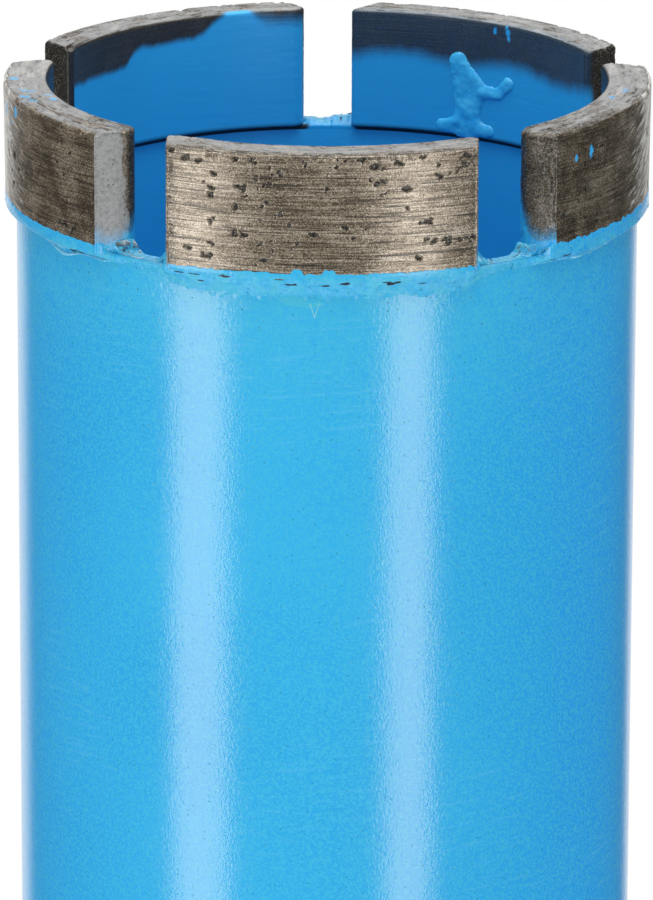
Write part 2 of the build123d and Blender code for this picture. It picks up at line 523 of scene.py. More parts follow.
def ground_metal(graph, place, shades, marks, grit, pit, inside, streaky):
    """Colour of the bare matrix, with its pits painted dark as painted shade, and soot with painted shade
    on the faces towards the bore.
    """
    streaks, scratches, hairs = marks
    distance, chance = graph.cells(place, 10.0)
    blotch = graph.noise(place, 0.4, 2.0, 0.6)
    tone = streaks * (0.20 * streaky) + hairs * (0.28 * streaky) + grit * 0.27 + chance * 0.10
    tone = tone + blotch * (0.63 - 0.48 * streaky)
    metal = graph.ramp(tone, *zip((0.43, 0.525, 0.625), shades))
    # Painted glints: scattered grains in the matrix's lightest tone
    spark = graph.math("LESS_THAN", distance, 0.42) * graph.math("GREATER_THAN", chance, 0.93)
    metal = graph.mix(spark * 0.35, metal, shades[-1])
    soot = dots(graph, graph.scaled(place, (0.8, 0.8, 1.0)), 4.5, 0.72, 0.09)
    metal = graph.mix(soot * 0.8, metal, SPECK_AND_PIT_SHADE)
    metal = graph.mix(scratches.step(0.395, 0.330) * (0.75 * streaky), metal, SPECK_AND_PIT_SHADE)
    crumbs = graph.noise(place, 7.0, 2.0, 0.6)
    ragged_pit = pit + (crumbs - 0.5) * 3.0 * pit.step(0.02, 0.15)
    # Pits painted near-black as painted shade in their hollows, with grey grit showing in some
    inside_pit = graph.mix(crumbs.step(0.56, 0.64), SPECK_AND_PIT_SHADE, GRIT)
    metal = graph.mix(ragged_pit.step(0.12, 0.42) * 0.92, metal, inside_pit)
    # Faces towards the bore darkened smooth: soot, and painted shade inside the crown
    return graph.mix(inside * 0.75, metal, SOOT_AND_SHADE)


def grey_coat(graph, place, coat, fine, grit):
    grey = graph.mix(fine.step(0.3, 0.7), COAT_DARK, COAT_PALE)
    grey = graph.mix((coat + (grit - 0.5)).step(0.9, 1.9) * 0.9, grey, COAT_BRIGHT)
    grey = graph.mix(dots(graph, place, 2.4, 0.25, 0.13), grey, COAT_SPECK)
    return graph.mix(fine.step(0.62, 0.68) * 0.7, grey, COAT_SPECK)


def slanting_sheen(graph, arc, height, far, on_face):
    """Painted sheen: pale streaks that lean towards a segment's far end, where it mirrors the bright
    surroundings at a grazing angle.
    """
    aside = abs(arc)
    lie = graph.joined(height * 3.4 - aside, height * 0.1 + aside * 0.34, 0.0)
    sheen_streaks = far + (graph.noise(lie, 1.0, 4.0, 0.7) - 0.5) * 3.4
    return sheen_streaks.step(0.30, 1.30) * (on_face * 0.9)


def bore_paint(graph, place, height, inside):
    """The enamel on a segment, bluer in the bore and painted dark along the segment's foot there, as
    painted shade where it overhangs the bore wall.
    """
    blue, _, _ = enamel(graph, place)
    blue = graph.mix(inside, blue, BORE_BLUE)
    return graph.mix(height.step(FOOT + 0.45, FOOT - 0.05) * inside * 0.8, blue, CRACK_AND_SHADE)


def sinter(name, *shades, roughness=0.28, streaky=1.0):
    """Ground diamond matrix: finish carries enamel, pits with soot and painted shade, and a grey coat,
    which is bright from 1 to 2 and, below 0, is a painted sheen in pale slanting streaks."""
    graph, place = new_graph(name)
    arc, height, radius = graph.round_axis()
    paint, pit, coat = graph.finish()
    inside = radius.step(BORE + 0.6, BORE - 0.2)
    grit = graph.noise(place, 11.0, 1.0, 0.5)
    fine = graph.noise(place, 3.0, 3.0, 0.65)
    marks = grinding_marks(graph, arc, height, radius)
    metal = ground_metal(graph, place, shades, marks, grit, pit, inside, streaky)
    wander = (fine - 0.5) * (0.9 - inside * 0.8)
    far = graph.greater(coat * -1.0, 0.0)
    on_face = far.step(0.0, 0.25)
    sheen_mask = slanting_sheen(graph, arc, height, far, on_face)
    coated = graph.greater((coat + wander).step(0.35, 0.65), sheen_mask)
    # Pale grey of the painted sheen where the coat is below 0
    grey = graph.mix(on_face * 0.85, grey_coat(graph, place, coat, fine, grit), GRAZING_SHEEN)
    painted = (paint + wander * paint).step(0.10, 0.90)
    colour = graph.mix(coated, metal, grey)
    colour = graph.mix(painted, colour, bore_paint(graph, place, height, inside))
    cover = graph.greater(coated, painted)
    rough = blend(roughness + (grit - 0.5) * 0.3, 0.36, cover)
    relief = grit * 0.010
    for mark, depth in zip(marks, (0.028, 0.026, 0.008)):
        relief = relief + mark * depth
    relief = relief * (1.0 - cover * 0.75)
    return surface(graph, colour, rough, relief, Metallic=(1.0 - cover) * METALLIC)


STEEL_DARK = (0.26, 0.25, 0.24)
STEEL_PALE = (0.50, 0.49, 0.47)
BARE_FACE = 0.06  # height under which the seating face is bare
BARE_BORE = 17.5  # radius within which the hub is bare


def hub_enamel():
    """The barrel's enamel, with the seating face and the bore left as machined."""
    graph, place = new_graph("hub_enamel")
    _, height, radius = graph.round_axis()
    colour, rough, relief = enamel(graph, place)
    edge = (graph.noise(place, 1.2, 3.0, 0.6) - 0.5) * 0.5
    low = (height + edge).step(BARE_FACE + 0.08, BARE_FACE)
    bare = graph.greater(low, (radius + edge).step(BARE_BORE + 0.4, BARE_BORE))
    rings = graph.noise(graph.joined(0.0, height * 5.0, radius * 5.0), 1.0, 3.0, 0.6)
    colour = graph.mix(bare, colour, graph.mix(rings, STEEL_DARK, STEEL_PALE))
    return surface(graph, colour, blend(rough, 0.34, bare), relief, Metallic=bare)


# ---- Barrel ------------------------------------------------------------------------------------

BARREL_COLUMNS = 512
BARREL_ROWS = 60
RIM_ROUND = 0.25
SOFT_EDGE = 0.25  # how far the round of a corner reaches along its sides


def lathe(profile, columns):
    """Points and faces of a closed profile turned round the axis; its numbers may vary round it."""
    angles = np.arange(columns) * 360 / columns
    radius, height = (np.stack([np.broadcast_to(row[i], columns) for row in profile], 1) for i in (0, 1))
    points = on_axis(angles[:, None], radius, height).reshape(-1, 3)
    count = len(profile)
    column = np.arange(columns)[:, None] * count
    following = (np.arange(columns)[:, None] + 1) % columns * count
    here = np.arange(count)
    there = (here + 1) % count
    faces = np.stack([column + here, following + here, following + there, column + there], -1)
    return points, faces.reshape(-1, 4)


def softened(profile, columns):
    """A closed profile with a short round in place of each corner."""
    rows = np.array([[np.broadcast_to(value, columns) for value in row] for row in profile])
    rounded = []
    for place, here in enumerate(rows):
        sides = []
        for other in (rows[place - 1], rows[(place + 1) % len(rows)]):
            length = np.maximum(np.hypot(*(other - here)), 1e-6)
            sides.append(here + (other - here) * np.minimum(0.33, SOFT_EDGE / length))
        rounded += [sides[0], (sides[0] + sides[1] + 2 * here) / 4, sides[1]]
    return rounded


def barrel(material):
    """The tube, with the enamel's round edge at the rim."""
    rows = np.linspace(BARREL_FOOT, RIM - RIM_ROUND, BARREL_ROWS)
    turn = np.radians(np.linspace(0, 90, 5)[1:])
    rise = RIM_ROUND * np.sin(turn)
    inset = RIM_ROUND * (1 - np.cos(turn))
    profile = [(TUBE, z) for z in rows]
    profile += [(TUBE - i, RIM - RIM_ROUND + r) for i, r in zip(inset, rise)]
    profile += [(BORE + i, RIM - RIM_ROUND + r) for i, r in zip(inset[::-1], rise[::-1])]
    profile += [(BORE, z) for z in rows[::-1]]
    points, faces = lathe(profile, BARREL_COLUMNS)
    add_mesh("barrel_tube", points, faces, material, ["barrel"])


# ---- Hub ---------------------------------------------------------------------------------------

HUB_COLUMNS = 720
HEX_FLAT = 20.5  # from the axis to a wrench flat
HEX_TURN = math.radians(30)  # from the middle of a flat to its corner
HEX_LENGTH = 22.0
HEX_CORNER = 0.6  # round on the hexagon's upright edges
HEX_SLOPE = 30.0  # degrees, of the turned bevel on the hexagon's corners
COLLAR_EDGE = 1.0
WELD_BEVEL = 1.2
SPIGOT = 22.95
SPIGOT_LEAD = 1.0
HUB_TOP = 37.0
WATERWAY_BEVEL = 2.0
THREAD_MAJOR = 15.875
MOUTH_BEVEL = 1.5
THREAD_PITCH = 25.4 / 7
THREAD_DEPTH = 0.5413  # of the pitch
THREAD_STEPS = 60  # a turn
THREAD_RUN_OUT = 50.0  # degrees over which the ridge fades at either end
WELD_COLUMNS = 900
WELD_RIPPLES = 96
WELD_CROWN = 0.6


def hexagon_radius(angles):
    """Radius of the wrench hexagon in each direction, its upright edges a little round."""
    off = np.radians((angles - 90 + 30) % 60 - 30)
    centre = (HEX_FLAT - HEX_CORNER) / math.cos(HEX_TURN)
    swing = np.maximum(HEX_CORNER**2 - (centre * np.sin(off)) ** 2, 0)
    reach = math.atan2(HEX_CORNER / 2, centre + HEX_CORNER * math.cos(HEX_TURN))
    flats = HEX_FLAT / np.cos(HEX_TURN - np.abs(off))
    return np.where(np.abs(off) < reach, centre * np.cos(off) + np.sqrt(swing), flats)


def hub(material):
    """Hexagon, collar and spigot with soft edges under the enamel."""
    angles = np.arange(HUB_COLUMNS) * 360 / HUB_COLUMNS
    slope = math.tan(math.radians(HEX_SLOPE))
    bevel_top = HEX_FLAT * (1 / math.cos(HEX_TURN) - 1) * slope
    heights = [*np.linspace(0, bevel_top, 9), *np.linspace(2.5, HEX_LENGTH, 6)]
    side = [(np.minimum(hexagon_radius(angles), HEX_FLAT + height / slope), height) for height in heights]
    turned = [
        (TUBE - COLLAR_EDGE, HEX_LENGTH),
        (TUBE, HEX_LENGTH + COLLAR_EDGE),
        (TUBE, BARREL_FOOT - WELD_BEVEL),
        (TUBE - WELD_BEVEL, BARREL_FOOT),
        (SPIGOT, BARREL_FOOT),
        (SPIGOT, HUB_TOP - SPIGOT_LEAD),
        (SPIGOT - SPIGOT_LEAD, HUB_TOP),
        (THREAD_MAJOR + WATERWAY_BEVEL, HUB_TOP),
        (THREAD_MAJOR, HUB_TOP - WATERWAY_BEVEL),
        (THREAD_MAJOR, MOUTH_BEVEL),
        (THREAD_MAJOR + MOUTH_BEVEL, 0.0),
        side[0],
    ]
    points, faces = lathe(side[1:] + softened(turned, HUB_COLUMNS), HUB_COLUMNS)
    add_mesh("hub_body", points, faces, material, ["hub"])


def thread(material):
    """Ridge of the hub's thread, 60 degree form, fading out at either end."""
    low = MOUTH_BEVEL + THREAD_PITCH / 2
    high = HUB_TOP - WATERWAY_BEVEL - THREAD_PITCH / 2
    turns = (high - low) / THREAD_PITCH
    angles = np.linspace(0, 360 * turns, round(THREAD_STEPS * turns))
    fade = smooth(0, THREAD_RUN_OUT, angles) * smooth(angles[-1], angles[-1] - THREAD_RUN_OUT, angles)
    depth = THREAD_DEPTH * THREAD_PITCH * np.maximum(fade, 0.02)
    root = THREAD_MAJOR + 0.05
    half_root = THREAD_PITCH * 7 / 16
    crest = THREAD_MAJOR - depth
    half_crest = THREAD_PITCH * blend(7 / 16, 1 / 8, fade)
    section = ((root, -half_root), (crest, -half_crest), (crest, half_crest), (root, half_root))
    middle = low + THREAD_PITCH * angles / 360
    rows = [on_axis(angles, radius, middle + offset) for radius, offset in section]
    points = np.stack(rows, 1).reshape(-1, 3)
    count = len(section)
    faces = capped(wrapped_faces(len(angles), count)[:, ::-1], len(angles), count)
    ridge = add_mesh("hub_thread", points, faces, material)
    ridge.data.shade_flat()


def weld(material):
    """Rippled weld bead between collar and barrel, under the enamel."""
    angles = np.arange(WELD_COLUMNS) * 360 / WELD_COLUMNS
    around = TUBE * np.radians(angles)
    profile = [(TUBE - WELD_BEVEL, BARREL_FOOT)]
    for share in np.linspace(-1, 1, 13):
        phase = WELD_RIPPLES * np.radians(angles) + 2.2 * share * share
        wave = np.abs(np.sin(phase / 2))
        wander = 0.10 * value_noise(around * 0.4, share, 2.0)
        rise = WELD_CROWN * (1 - share * share) * (0.78 + 0.20 * wave + wander)
        profile.append((TUBE - 0.03 + np.minimum(rise, WELD_CROWN), BARREL_FOOT + WELD_BEVEL * share))
    points, faces = lathe(profile, WELD_COLUMNS)
    add_mesh("hub_weld_bead", points, faces, material, ["hub_weld"])


# ---- Segments ----------------------------------------------------------------------------------

# Radii of each segment's upright corners: outer and inner at its low-arc end, then at its high-arc end
CORNERS = {
    FRONT: ((0.22, 0.5), (0.22, 0.5)),
    RIGHT: ((0.22, 1.1), (0.5, 0.9)),
    BACK_RIGHT: ((0.45, 0.5), (0.4, 0.32)),
    BACK_LEFT: ((0.5, 1.15), (0.75, 0.4)),
    LEFT: ((0.5, 0.9), (0.22, 0.8)),
}
CORNER_STEPS = 6
END_STEPS = 22
TOP_STEPS = 8
CAP_STEPS = 14
LEAN = 0.12  # how much less a segment stands out at its foot than at its top


def end_outline(seat, outer, inner):
    """Corners and end of a footprint at its high-arc end, and the angles where the arcs take over."""
    half = seat.half_length
    outer_x = math.sqrt((seat.outer - outer) ** 2 - (half - outer) ** 2)
    inner_x = math.sqrt((seat.inner + inner) ** 2 - (half - inner) ** 2)
    outer_end = math.atan2(half - outer, outer_x)
    inner_end = math.atan2(half - inner, inner_x)
    turn = np.linspace(outer_end, math.pi / 2, CORNER_STEPS + 1)[1:]
    points = [(outer_x + outer * math.cos(a), half - outer + outer * math.sin(a)) for a in turn]
    points += [(x, half) for x in np.linspace(outer_x, inner_x, END_STEPS)[1:]]
    turn = np.linspace(math.pi / 2, math.pi + inner_end, 2 * CORNER_STEPS)[1:-1]
    points += [(inner_x + inner * math.cos(a), half - inner + inner * math.sin(a)) for a in turn]
    return np.array(points), outer_end, inner_end


def footprint(seat, steps):
    """Outline of a segment from above with X outwards, the middle point each point faces, and its side."""
    low, high = CORNERS[seat.number]
    first, first_outer, first_inner = end_outline(seat, *low)
    last, last_outer, last_inner = end_outline(seat, *high)
    wall = (seat.outer - seat.inner) / 2
    middle_radius = seat.outer - wall
    middle_end = math.asin((seat.half_length - wall) / middle_radius)
    share = np.linspace(0, 1, steps)
    turn = blend(-first_outer, last_outer, share)
    outer = seat.outer * np.stack([np.cos(turn), np.sin(turn)], -1)
    turn = blend(last_inner, -first_inner, share)
    inner = seat.inner * np.stack([np.cos(turn), np.sin(turn)], -1)
    outline = np.concatenate([outer, last, inner, first[::-1] * (1, -1)])
    across = 2 * share - 1
    ends = np.ones(len(last))
    faced = middle_end * np.concatenate([across, ends, -across, -ends])
    middle = middle_radius * np.stack([np.cos(faced), np.sin(faced)], -1)
    side = np.repeat([0, 1, 2, 3], [steps, len(last), steps, len(first)])
    return outline, middle, side


def segment_rings(seat, steps, rows, outer_round, inner_round, end_round):
    """Rings of points from the foot's middle up the sides and over the top to its middle."""
    outline, middle, side = footprint(seat, steps)
    wall = (seat.outer - seat.inner) / 2
    height = seat.top - seat.foot
    across = np.where(side == 2, inner_round[0], outer_round[0]) / wall
    rise = np.where(side == 2, inner_round[1], outer_round[1])
    ends = (side == 1) | (side == 3)
    radius = np.hypot(*outline.T)
    outwards = np.clip((radius - seat.inner) / (seat.outer - seat.inner), 0, 1)
    across = np.where(ends, end_round * blend(inner_round[0], outer_round[0], outwards) / wall, across)
    rise = np.where(ends, end_round * blend(inner_round[1], outer_round[1], outwards), rise)
    shares = [np.ones(len(outline)), np.zeros(len(outline))]
    heights = [np.zeros(len(outline)), np.zeros(len(outline))]
    for level in np.linspace(0, 1, rows)[1:]:
        shares.append(np.zeros(len(outline)))
        heights.append(level * (height - rise))
    for turn in np.radians(np.linspace(0, 90, TOP_STEPS + 1)[1:]):
        shares.append(across * (1 - math.cos(turn)))
        heights.append(height - rise + rise * math.sin(turn))
    for level in np.linspace(0, 1, CAP_STEPS + 1)[1:]:
        shares.append(blend(across, 1.0, level))
        heights.append(np.full(len(outline), height))
    shares = np.array(shares)
    heights = np.array(heights)
    flat = outline[None] + (middle - outline)[None] * shares[..., None]
    return flat, heights, side, middle


def pit_field(arc, height, pits, seed):
    """How much, from 0 to 1, each point is in a pit."""
    wander_arc = arc + 0.26 * noise(arc * 3.6, height * 3.6, seed)
    wander_height = height + 0.22 * noise(arc * 3.6, height * 3.6, seed + 9.5)
    field = np.zeros_like(arc)
    chance = np.random.default_rng(int(seed))
    for centre_arc, centre_height, radius in clustered(pits, chance):
        near = (np.abs(arc - centre_arc) < 1.4) & (np.abs(height - centre_height) < 1.4)
        away = np.hypot((wander_arc[near] - centre_arc) / 1.2, wander_height[near] - centre_height)
        hole = 1 - smooth(0.45 * radius, 1.3 * radius, away)
        field[near] = np.maximum(field[near], hole)
    return field


def clustered(pits, chance):
    """The pits, each with a few smaller ones that run into it."""
    for centre_arc, centre_height, radius in pits:
        yield centre_arc, centre_height, radius * 0.80
        for _ in range(chance.integers(1, 4)):
            offset = chance.normal(0, radius, 2)
            smaller = radius * chance.uniform(0.4, 0.75)
            yield centre_arc + offset[0], centre_height + 0.7 * offset[1], smaller


def random_pits(seed, count, half_arc=12.4, top=9.8, lowest=0.8):
    """Pits in loose clusters."""
    chance = np.random.default_rng(seed)
    pits = []
    while len(pits) < count:
        centre = (chance.uniform(-half_arc, half_arc), chance.uniform(lowest, top - 0.3))
        for _ in range(chance.integers(1, 4)):
            arc = np.clip(centre[0] + chance.normal(0, 0.7), -half_arc, half_arc)
            height = np.clip(centre[1] + chance.normal(0, 0.5), 0.5, top - 0.2)
            pits.append((arc, height, chance.uniform(0.09, 0.24)))
    return pits


# Edge of the enamel inside the back left segment: its low end, its rises, each from one arc to another,
# and the tongue that reaches the top
BACK_LEFT_EDGE = 6.7
BACK_LEFT_RISES = ((5.8, 3.8, 1.4), (-2.2, -5.4, 1.0))
TONGUE_MIDDLE = -7.2
TONGUE_HALF = 1.9
TONGUE_RISE = 1.4
# Height of the enamel's edge inside the other segments, and the haze above it in the back right one
INNER_EDGE = 6.4
BACK_RIGHT_HAZE = 0.23
# Flecks of enamel on the segments' tops: how many, and on which half
TOP_FLECKS = {LEFT: (6, -1), RIGHT: (2, 1)}
FLECK_RADIUS = 25.0  # where the arc to a fleck on a top is measured
# Flecks of enamel on the segments' faces: how many, and the arc and height they gather round
FACE_FLECKS = {RIGHT: (2, -9.2, 7.5), BACK_RIGHT: (2, -1.0, 9.2), LEFT: (3, -1.7, 8.2)}


def inner_paint(number, arc, height):
    """How far each point of the inner face is inside the enamel: 1 in it and 0 clear of it."""
    ragged = 0.20 * noise(arc * 1.0, height * 0.6, number * 3.7)
    if number == BACK_LEFT:
        edge = BACK_LEFT_EDGE + TONGUE_RISE * np.exp(-(((arc - TONGUE_MIDDLE) / TONGUE_HALF) ** 2))
        for start, end, rise in BACK_LEFT_RISES:
            edge = edge + rise * smooth(start, end, arc)
        soft = blend(1.3, 3.4, smooth(-8.5, -10.5, arc))
        return smooth(0.5, -0.5, (height - edge - ragged) / soft)
    edge = INNER_EDGE + 0.3 * np.sin(arc * 0.5 + number)
    haze = BACK_RIGHT_HAZE if number == BACK_RIGHT else 0.0
    return np.maximum(smooth(0.5, -0.5, (height - edge - ragged) / 3.4), haze)


# How far the enamel climbs each segment
CLIMB = {FRONT: 0.5, RIGHT: 1.1, BACK_RIGHT: 0.9, BACK_LEFT: 0.9, LEFT: 0.88}
# How far up a segment's ends the mist reaches at the bore, and how strong its haze is above that
MIST = {FRONT: 2.0, RIGHT: 4.4, BACK_RIGHT: 3.0, BACK_LEFT: 3.0, LEFT: 2.6}
HAZE = 0.62
# How far up it reaches at the back segments' ends that face each other
BACK_MIST = 8.0


def end_paint(number, arc, height, radius):
    """Mist of enamel on the lower part of a segment's ends, further up towards the bore."""
    inwards = smooth(24.6, 22.6, radius)
    reach = blend(CLIMB[number] + 0.15, MIST[number], inwards)
    ragged = 0.8 * noise(radius * 1.2, height * 0.9, number + np.sign(arc))
    reach = reach + ragged * smooth(0.0, 0.5, inwards + 0.3)
    if number in (BACK_LEFT, BACK_RIGHT):
        facing = np.sign(arc) == (-1 if number == BACK_LEFT else 1)
        reach = blend(reach, BACK_MIST, smooth(23.5, 22.9, radius) * facing)
    solid = smooth(0.25, -0.35, height - reach)
    haze = HAZE * smooth(2.4, -0.6, height - reach)
    return np.maximum(solid, haze)


def flecks_of(number, height, arc, angle, radius, cap, outer):
    """Small splashes of enamel on a segment's top and faces."""
    amount = np.zeros_like(arc)
    count, half = TOP_FLECKS.get(number, (0, 1))
    for fleck_arc, fleck_radius, size in drawn(20 + number, count, (-3.0, 6.5), (23.2, 25.5), (0.35, 0.8)):
        aside = np.radians(angle - seats[number].angle) * FLECK_RADIUS - half * fleck_arc
        away = np.hypot(aside / 1.5, radius - fleck_radius)
        away = away + 0.6 * noise(aside * 2.6, radius * 2.6, fleck_arc)
        thin = np.clip(0.55 + 0.9 * noise(aside * 3.4, radius * 4.0, fleck_arc + 3.0), 0, 1)
        amount = np.maximum(amount, thin * smooth(size, size * 0.3, away) * cap)
    count, middle_arc, middle_height = FACE_FLECKS.get(number, (0, 0.0, 0.0))
    draws = drawn(30 + number, count, (-0.4, 0.4), (-0.7, 0.7), (0.15, 0.4))
    for turn, (beside, above, size) in enumerate(draws):
        beside = beside + 1.7 * (turn - (count - 1) / 2)
        away = np.hypot(arc - middle_arc - beside, (height - middle_height - above) * 0.6)
        away = away + 0.3 * noise(arc * 2.4, height * 2.4, beside) * (size > 0.3)
        faces = ~cap & (outer if number in (RIGHT, LEFT) else ~outer)
        amount = np.maximum(amount, smooth(size, size * 0.5, away) * faces)
    return amount


# How worn each segment's top is at its low-arc and its high-arc end
TOP_WEAR = {
    FRONT: (0.9, 0.8),
    RIGHT: (0.5, 1.1),
    BACK_RIGHT: (0.9, 0.8),
    BACK_LEFT: (0.9, 0.7),
    LEFT: (1.2, 0.6),
}
# Arcs between which the painted sheen, pale streaks on a side segment's outer face, sets in
FAR_SHEEN = {LEFT: (6.0, -10.0), RIGHT: (-6.5, 10.0)}


def top_coat(number, arc, radius):
    """Bright worn patches on a segment's top."""
    patches = noise(arc * 0.55, radius * 1.3, number * 1.3)
    patches = patches + 0.7 * noise(arc * 0.5, radius * 5.0, number * 2.1)
    low, high = TOP_WEAR[number]
    return blend(low, high, smooth(-10, 10, arc)) + 1.1 * patches


def top_cracks(number, arc, radius):
    """Dark torn streaks along a segment's top."""
    torn = noise(arc * 0.9, radius * 4.2, number * 3.3, 4)
    torn = torn + 0.5 * noise(arc * 3.0, radius * 6.0, number * 2.2, 4)
    torn = torn + 0.12 * smooth(24.6, 25.6, radius) + (0.10 if number == FRONT else 0)
    return 0.8 * smooth(0.16, 0.42, torn)


def far_sheen(number, arc, height):
    """Painted sheen: pale streaks on the outer face towards the far end of a side segment, where it
    mirrors the bright surroundings at a grazing angle.
    """
    if number not in FAR_SHEEN:
        return np.zeros_like(arc)
    start, end = FAR_SHEEN[number]
    patches = noise(arc * 0.4, height * 0.6 - np.abs(arc) * 0.5, number * 4.4, 4)
    return smooth(start, end, arc) * (1.3 + 0.7 * patches)


def finish_of(number, seat, side, arc, height, angle, radius, cap):
    """Enamel and grey coat of each point of a segment; below 0 the coat is the painted sheen."""
    inner = np.broadcast_to(side == 2, arc.shape) & (radius < seat.inner + 0.6)
    ends = np.broadcast_to((side == 1) | (side == 3), arc.shape) & ~cap
    outer = np.broadcast_to(side == 0, arc.shape)
    paint = np.where(inner, inner_paint(number, arc, height), 0.0)
    round_corner = smooth(seat.inner + 1.2, seat.inner + 0.3, radius)
    round_corner = round_corner * ((number == BACK_RIGHT) | ((number == BACK_LEFT) & (arc < 0)))
    at_end = blend(end_paint(number, arc, height, radius), inner_paint(number, arc, height), round_corner)
    paint = np.where(ends, at_end, paint)
    paint = np.maximum(paint, flecks_of(number, height, arc, angle, radius, cap, outer))
    # Below 0 the coat carries the painted sheen of the far ends
    coat = np.where(outer & ~cap, -far_sheen(number, arc, height), 0.0)
    if number == LEFT:
        near_end = np.broadcast_to(side == 1, arc.shape) & ~cap
        edge = seat.inner + 1.15 + 0.5 * noise(height * 0.5, 0.3) - 0.35 * smooth(6.0, 2.0, height)
        coat = np.where(near_end, 0.92 * smooth(edge - 0.1, edge + 0.6, radius), coat)
    coat = np.where(cap, top_coat(number, arc, radius), coat)
    if number == FRONT:
        ragged = 0.35 * noise(arc * 1.4, 2.0, 0.3, 4) + 0.2 * noise(arc * 5.0, 1.0, 0.6, 4)
        coat = coat * np.where(cap, smooth(seat.outer - 0.9, seat.outer - 1.2, radius + ragged), 1)
    return paint, coat


def soot_and_shade_of(number, side, cap, arc, radius, seat):
    """Darkening, partly brazing soot and partly painted shade: on inner faces, on all ends but the front
    one's, and, as painted shade only, along its upright edges.
    """
    inner = (side == 2) & ~cap
    ends = ((side == 1) | (side == 3)) & ~cap
    soot_and_shade = np.where(inner, 0.30, 0.0)
    if number in (BACK_LEFT, BACK_RIGHT):
        soot_and_shade = np.where(ends, 0.75, soot_and_shade)
    if number == RIGHT:
        soot_and_shade = np.where(ends, 0.18 + 0.45 * smooth(seat.inner + 1.6, seat.inner + 0.5, radius), soot_and_shade)
    if number == LEFT:
        soot_and_shade = np.where(ends, 0.40 * smooth(seat.inner + 1.6, seat.inner + 1.1, radius), soot_and_shade)
    if number == FRONT:
        # Painted shade along the front one's upright edges, where its highlight falls off
        soot_and_shade = np.where((side == 0) & ~cap, 0.17 * smooth(11.0, 12.6, np.abs(arc)), soot_and_shade)
    return soot_and_shade


def segment(number, material, steps, rows, pits, rough_end=0.02, burr=0.0, chipping=1.0):
    """One sintered segment with its worn edges, pull-out pits and grinding marks."""
    seat = seats[number]
    rounds = ((0.30, 0.12), (0.35, 0.16)) if number == FRONT else ((0.75, 0.42), (0.35, 0.30))
    end_round = 1.7 if number == RIGHT else 1.0
    flat, height, side, middle = segment_rings(seat, steps, rows, *rounds, end_round)
    tall = seat.top - seat.foot
    radius = np.hypot(flat[..., 0], flat[..., 1])
    turned = np.arctan2(flat[..., 1], flat[..., 0])
    arc = seat.outer * turned
    angle = seat.angle + np.degrees(turned)
    ring = np.arange(len(flat))[:, None]
    cap = np.broadcast_to(ring > len(flat) - 1 - CAP_STEPS - TOP_STEPS // 2, radius.shape)
    seed = 11.0 * number
    outwards = flat - middle[None]
    outwards = outwards / np.maximum(np.hypot(outwards[..., 0], outwards[..., 1]), 1e-6)[..., None]
    outer_side = np.broadcast_to(side == 0, radius.shape) & ~cap
    pit = np.zeros_like(radius)
    pit[outer_side] = pit_field(arc[outer_side], height[outer_side], pits, seed)
    push = -0.16 * smooth(0.05, 0.7, pit)
    push = push + 0.012 * noise(arc * 0.5, height * 3.0, radius * 3.0 + seed)
    ends = np.broadcast_to((side == 1) | (side == 3), radius.shape)
    push = push + np.where(ends, rough_end * noise(radius * 4.5, height * 4.5, arc + seed), 0)
    chips = chipping * np.clip(noise(arc * 1.2, seed, 0.5, 4) - 0.15, 0, 1)
    near_top = smooth(tall - 0.9, tall, height) * smooth(seat.outer - 1.3, seat.outer - 0.4, radius)
    push = push - 0.35 * chips * near_top
    from_corner = np.hypot(seat.half_length - np.abs(flat[..., 1]), seat.outer - radius)
    upright = smooth(0.6, 0.1, from_corner)
    nibbled = noise(height * 1.6, seed + np.sign(arc), 0.7, 4) + 0.5 * noise(height * 5.0, seed, 0.2, 4)
    push = push - 0.14 * (chipping if number != LEFT else 0.15) * upright * np.clip(nibbled, 0, 1)
    push = push - LEAN * (1 - height / tall) * (side == 0)
    grooves = noise(arc * 0.35, radius * 4.5, seed) + 0.5 * noise(arc * 1.5, radius * 6.0, seed + 4)
    lift = np.where(cap, -0.04 * np.abs(grooves) - 0.08 * top_cracks(number, arc, radius), 0.0)
    lift = lift - 0.30 * chips * near_top
    broken = np.clip(noise(radius * 2.6, seed + np.sign(arc) * 3.0, 0.2, 4), 0, 1)
    lift = lift - 0.30 * chipping * ends * broken * smooth(tall - 0.9, tall, height)
    if burr:
        hump = smooth(-12.3, -11.9, arc) * smooth(-9.6, -10.4, arc)
        hump = hump * smooth(seat.outer - 0.6, seat.outer - 2.0, radius)
        ragged = 0.75 + 0.35 * noise(arc * 1.7, radius, seed)
        lift = lift + (burr * hump * ragged - burr * 0.75) * smooth(tall - 0.8, tall, height)
    flat = flat + outwards * push[..., None]
    turn = math.radians(seat.angle)
    x = flat[..., 0] * math.sin(turn) + flat[..., 1] * math.cos(turn)
    y = -flat[..., 0] * math.cos(turn) + flat[..., 1] * math.sin(turn)
    z = np.minimum(seat.foot + height + lift, seat.top)
    paint, coat = finish_of(number, seat, side, arc, height, angle, radius, cap)
    if rough_end > 0.04:
        grain = 0.12 + 0.40 * noise(radius * 5.0, height * 5.0, seed)
        pit = np.where(ends & ~cap, np.maximum(pit, grain), pit)
    pit = np.maximum(pit, soot_and_shade_of(number, side, cap, arc, radius, seat))
    pit = np.where(cap, np.maximum(pit, top_cracks(number, arc, radius)), pit)
    finish = np.stack([paint, pit, coat], -1)
    points = np.stack([x, y, z], -1).reshape(-1, 3)
    faces = wrapped_faces(len(flat), flat.shape[1])
    add_mesh(
        f"segment_{number}_ground", points, faces, material, [f"segment_{number}"],
        finish.reshape(-1, 3), merge=0.004,
    )


# ---- Braze and the enamel over it --------------------------------------------------------------

BEAD_STEP = 0.2  # degrees
BEAD_ROWS = 26
FILM_ROWS = 6
TOP_POINTS = 14
FILM = 0.05
GAP_SHOULDER = 0.16

